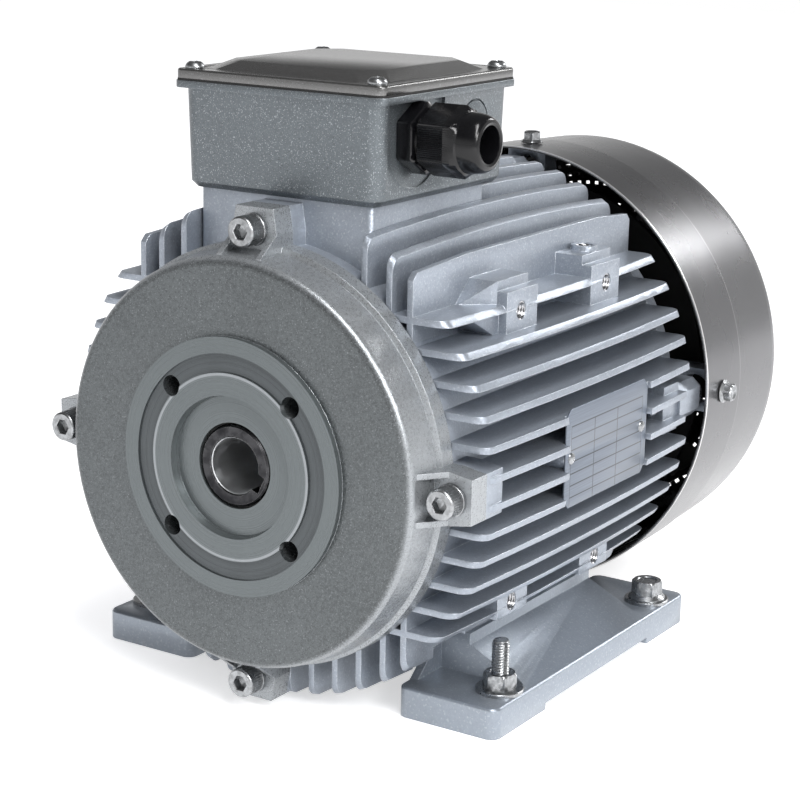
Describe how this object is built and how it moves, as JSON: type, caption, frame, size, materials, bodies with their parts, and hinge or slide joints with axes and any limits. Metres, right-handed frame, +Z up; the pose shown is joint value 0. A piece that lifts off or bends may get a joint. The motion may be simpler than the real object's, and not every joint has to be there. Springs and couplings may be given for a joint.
{
  "type": "three-phase electric motor",
  "caption": "Foot-mounted induction motor: finned frame, hollow input shaft in a machined flange, terminal box with cable gland, fan cover behind.",
  "frame": {"origin": "midway between the four foot studs, in the plane of the feet's undersides", "axes": "+Z up; the shaft lies along Y, its driving end towards -Y; +X is the side with the gland and nameplate"},
  "size_m": [0.2324, 0.3225, 0.2793],
  "materials": {
    "cast_aluminium": "shot-blasted casting",
    "shield_casting": "hammered casting, turned faces bright",
    "box_casting": "blasted casting",
    "foot_casting": "smooth casting",
    "cover_steel": "satin silver coat",
    "rubber_seal": "matte",
    "moulded_block": "moulded",
    "brass_links": "plain",
    "gland_nylon": "moulded, glossy",
    "shaft_steel": "ground and oiled",
    "core_steel": "laminated",
    "winding": "varnished",
    "bearing_steel": "ground",
    "spring_steel": "blued",
    "fan_plastic": "moulded",
    "zinc_fasteners": "zinc plated",
    "plate_metal": "brushed"
  },
  "bodies": {
    "housing": {"box_lid": "box_casting", "cover_screw_bottom": "zinc_fasteners", "cover_screw_left": "zinc_fasteners", "cover_screw_right": "zinc_fasteners", "cover_screw_top": "zinc_fasteners", "fan_cover": "cover_steel", "flange_bolt_rear_left": "zinc_fasteners", "flange_bolt_rear_right": "zinc_fasteners", "foot_screw_front_left": "zinc_fasteners", "foot_screw_front_right": "zinc_fasteners", "foot_screw_rear_left": "zinc_fasteners", "foot_screw_rear_right": "zinc_fasteners", "front_bearing_outer_ring": "bearing_steel", "front_end_shield": "shield_casting", "front_oil_seal": "rubber_seal", "front_shield_screw_bottom": "zinc_fasteners", "front_shield_screw_left": "zinc_fasteners", "front_shield_screw_right": "zinc_fasteners", "front_shield_screw_top": "zinc_fasteners", "gland_body": "gland_nylon", "gland_cap_nut": "gland_nylon", "gland_locknut": "gland_nylon", "gland_seal": "rubber_seal", "left_foot": "foot_casting", "lid_gasket": "rubber_seal", "lid_screw_front_left": "zinc_fasteners", "lid_screw_front_right": "zinc_fasteners", "lid_screw_rear_left": "zinc_fasteners", "lid_screw_rear_right": "zinc_fasteners", "motor_frame": "cast_aluminium", "nameplate": "plate_metal", "nameplate_rivet_front": "zinc_fasteners", "nameplate_rivet_rear": "zinc_fasteners", "rear_bearing_outer_ring": "bearing_steel", "rear_end_shield": "shield_casting", "rear_shield_screw_bottom": "zinc_fasteners", "rear_shield_screw_left": "zinc_fasteners", "rear_shield_screw_right": "zinc_fasteners", "rear_shield_screw_top": "zinc_fasteners", "right_foot": "foot_casting", "stator_core": "core_steel", "stud_front_left": "zinc_fasteners", "stud_front_right": "zinc_fasteners", "stud_nut_front_left": "zinc_fasteners", "stud_nut_front_right": "zinc_fasteners", "terminal_block": "moulded_block", "terminal_box": "box_casting", "terminal_link_1": "brass_links", "terminal_link_2": "brass_links", "terminal_link_3": "brass_links", "winding_front": "winding", "winding_rear": "winding"},
    "rotor": {"cooling_fan": "fan_plastic", "fan_circlip": "spring_steel", "front_bearing_inner_ring": "bearing_steel", "hollow_shaft": "shaft_steel", "rear_bearing_inner_ring": "bearing_steel", "rotor_core": "core_steel"}
  },
  "joints": [
    {"name": "rotor_spin", "type": "hinge", "parent": "housing", "child": "rotor", "pos_m": [0, 0, 0.112], "axis": [0, 1, 0], "continuous": true}
  ]
}
